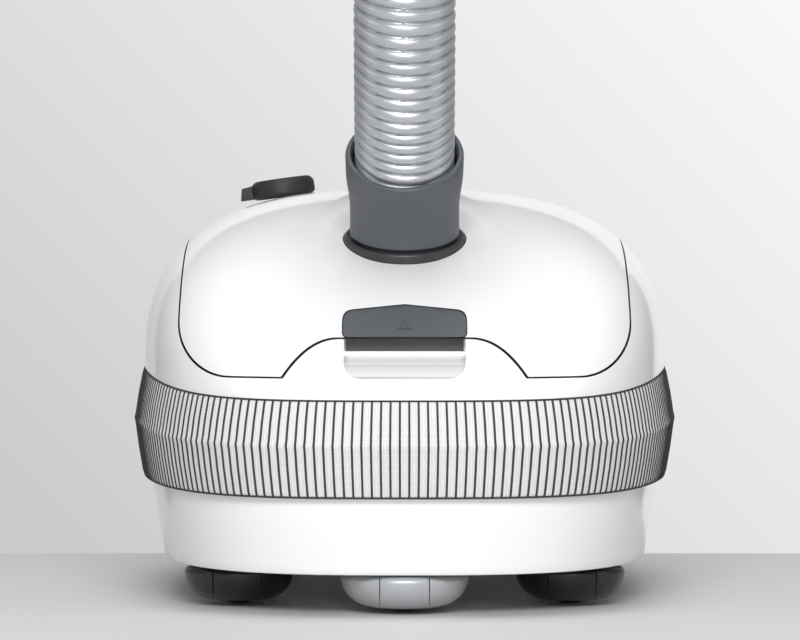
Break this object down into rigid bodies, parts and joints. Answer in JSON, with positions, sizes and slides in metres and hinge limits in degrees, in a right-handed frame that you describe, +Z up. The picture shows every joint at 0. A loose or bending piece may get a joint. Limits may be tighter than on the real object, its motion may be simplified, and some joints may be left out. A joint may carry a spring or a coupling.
{
  "type": "canister vacuum cleaner",
  "caption": "Canister vacuum cleaner: domed white casing with a striped textile bumper belt, hinged lid with swivel elbow, corrugated hose with grip, suction motor, cord reel and castors.",
  "frame": {"origin": "on the floor, under the middle of the casing's footprint", "axes": "+Z up, -Y towards the front of the machine where the latch is, +X to its left-hand side seen from behind"},
  "size_m": [0.2838, 1.0125, 0.6381],
  "materials": {
    "gloss_white": "high gloss moulded",
    "belt_textile": "woven, pale with dark vertical stripes",
    "grey_plastic": "fine satin texture",
    "dark_plastic": "satin",
    "black_plastic": "semi gloss",
    "silver_plastic": "silver pigmented, semi gloss",
    "paper": "non-woven filter paper",
    "filter_foam": "open-cell foam",
    "soft_rubber": "matt",
    "steel": "brushed",
    "copper_winding": "enamelled winding",
    "circuit_board": "solder mask"
  },
  "bodies": {
    "root": {"lower_shell": "gloss_white", "upper_shell": "gloss_white", "bumper_belt": "belt_textile", "lid_hinge_pin": "steel", "partition_wall": "dark_plastic", "motor_filter": "filter_foam", "dust_bag": "paper", "bag_collar": "paper", "bag_carrier": "grey_plastic", "fan_shroud": "dark_plastic", "motor_bracket": "steel", "front_bearing": "steel", "stator": "copper_winding", "motor_can": "steel", "rear_bearing": "steel", "left_brush": "black_plastic", "right_brush": "black_plastic", "front_motor_mount": "soft_rubber", "rear_motor_mount": "soft_rubber", "front_motor_cradle": "dark_plastic", "rear_motor_cradle": "dark_plastic", "reel_axle": "steel", "reel_spring": "steel", "reel_bracket": "dark_plastic", "cord_outlet": "dark_plastic", "speed_potentiometer": "dark_plastic", "rewind_spring": "steel", "rewind_bracket": "dark_plastic", "control_board": "circuit_board", "hose_upper": "silver_plastic", "hose_cuff": "dark_plastic", "hose_handle": "grey_plastic"},
    "lid": {"lid": "gloss_white", "lid_seal": "soft_rubber", "swivel_collar": "dark_plastic", "latch_bracket": "dark_plastic", "latch_spring": "steel"},
    "latch": {"latch_button": "grey_plastic"},
    "swivel": {"swivel_elbow": "grey_plastic", "swivel_retainer": "dark_plastic", "hose_lower": "silver_plastic"},
    "vent": {"vent_slider": "black_plastic"},
    "knob": {"power_knob": "black_plastic"},
    "rewind": {"rewind_button": "grey_plastic"},
    "rotor": {"rotor": "steel"},
    "reel": {"reel_drum": "dark_plastic"},
    "front_castor_swivel": {"front_castor_hood": "silver_plastic"},
    "front_castor_roller": {"front_castor_wheel": "soft_rubber"},
    "front_left_castor_swivel": {"front_left_castor_hood": "black_plastic"},
    "front_left_castor_roller": {"front_left_castor_wheel": "soft_rubber"},
    "front_right_castor_swivel": {"front_right_castor_hood": "black_plastic"},
    "front_right_castor_roller": {"front_right_castor_wheel": "soft_rubber"},
    "rear_left_castor_swivel": {"rear_left_castor_hood": "black_plastic"},
    "rear_left_castor_roller": {"rear_left_castor_wheel": "soft_rubber"},
    "rear_right_castor_swivel": {"rear_right_castor_hood": "black_plastic"},
    "rear_right_castor_roller": {"rear_right_castor_wheel": "soft_rubber"}
  },
  "joints": [
    {"name": "lid_hinge", "type": "hinge", "parent": "root", "child": "lid", "pos_m": [0, 0.0696, 0.209], "axis": [-1, 0, 0], "range_deg": [0, 65], "deforming": ["hose_upper", "hose_lower"]},
    {"name": "latch_press", "type": "slide", "parent": "lid", "child": "latch", "axis": [0, 1, 0], "range_m": [0, 0.003], "stiffness_N_per_m": 900, "deforming": ["latch_spring"]},
    {"name": "elbow_swivel", "type": "hinge", "parent": "lid", "child": "swivel", "pos_m": [0, -0.07, 0.1825], "axis": [0, -0.3256, 0.9455], "continuous": true},
    {"name": "power_knob_turn", "type": "hinge", "parent": "root", "child": "knob", "pos_m": [-0.0665, 0.096, 0.2076], "axis": [-0.1392, 0, 0.9903], "range_deg": [0, 250]},
    {"name": "rewind_press", "type": "slide", "parent": "root", "child": "rewind", "axis": [0, 0, -1], "range_m": [0, 0.004], "stiffness_N_per_m": 900, "deforming": ["rewind_spring"]},
    {"name": "vent_slide", "type": "slide", "parent": "root", "child": "vent", "axis": [0, 1, 0], "range_m": [0, 0.01]},
    {"name": "rotor_spin", "type": "hinge", "parent": "root", "child": "rotor", "pos_m": [0, 0.098, 0.108], "axis": [0, 1, 0], "continuous": true},
    {"name": "reel_spin", "type": "hinge", "parent": "root", "child": "reel", "pos_m": [0.082, 0.1, 0.092], "axis": [1, 0, 0], "continuous": true},
    {"name": "front_castor_turn", "type": "hinge", "parent": "root", "child": "front_castor_swivel", "pos_m": [0, -0.152, 0], "axis": [0, 0, 1], "continuous": true},
    {"name": "front_castor_roll", "type": "hinge", "parent": "front_castor_swivel", "child": "front_castor_roller", "pos_m": [0, -0.146, 0.014], "axis": [1, 0, 0], "continuous": true},
    {"name": "front_left_castor_turn", "type": "hinge", "parent": "root", "child": "front_left_castor_swivel", "pos_m": [-0.084, -0.105, 0], "axis": [0, 0, 1], "continuous": true},
    {"name": "front_left_castor_roll", "type": "hinge", "parent": "front_left_castor_swivel", "child": "front_left_castor_roller", "pos_m": [-0.084, -0.099, 0.014], "axis": [1, 0, 0], "continuous": true},
    {"name": "front_right_castor_turn", "type": "hinge", "parent": "root", "child": "front_right_castor_swivel", "pos_m": [0.084, -0.105, 0], "axis": [0, 0, 1], "continuous": true},
    {"name": "front_right_castor_roll", "type": "hinge", "parent": "front_right_castor_swivel", "child": "front_right_castor_roller", "pos_m": [0.084, -0.099, 0.014], "axis": [1, 0, 0], "continuous": true},
    {"name": "rear_left_castor_turn", "type": "hinge", "parent": "root", "child": "rear_left_castor_swivel", "pos_m": [-0.08, 0.12, 0], "axis": [0, 0, 1], "continuous": true},
    {"name": "rear_left_castor_roll", "type": "hinge", "parent": "rear_left_castor_swivel", "child": "rear_left_castor_roller", "pos_m": [-0.08, 0.126, 0.014], "axis": [1, 0, 0], "continuous": true},
    {"name": "rear_right_castor_turn", "type": "hinge", "parent": "root", "child": "rear_right_castor_swivel", "pos_m": [0.08, 0.12, 0], "axis": [0, 0, 1], "continuous": true},
    {"name": "rear_right_castor_roll", "type": "hinge", "parent": "rear_right_castor_swivel", "child": "rear_right_castor_roller", "pos_m": [0.08, 0.126, 0.014], "axis": [1, 0, 0], "continuous": true}
  ]
}
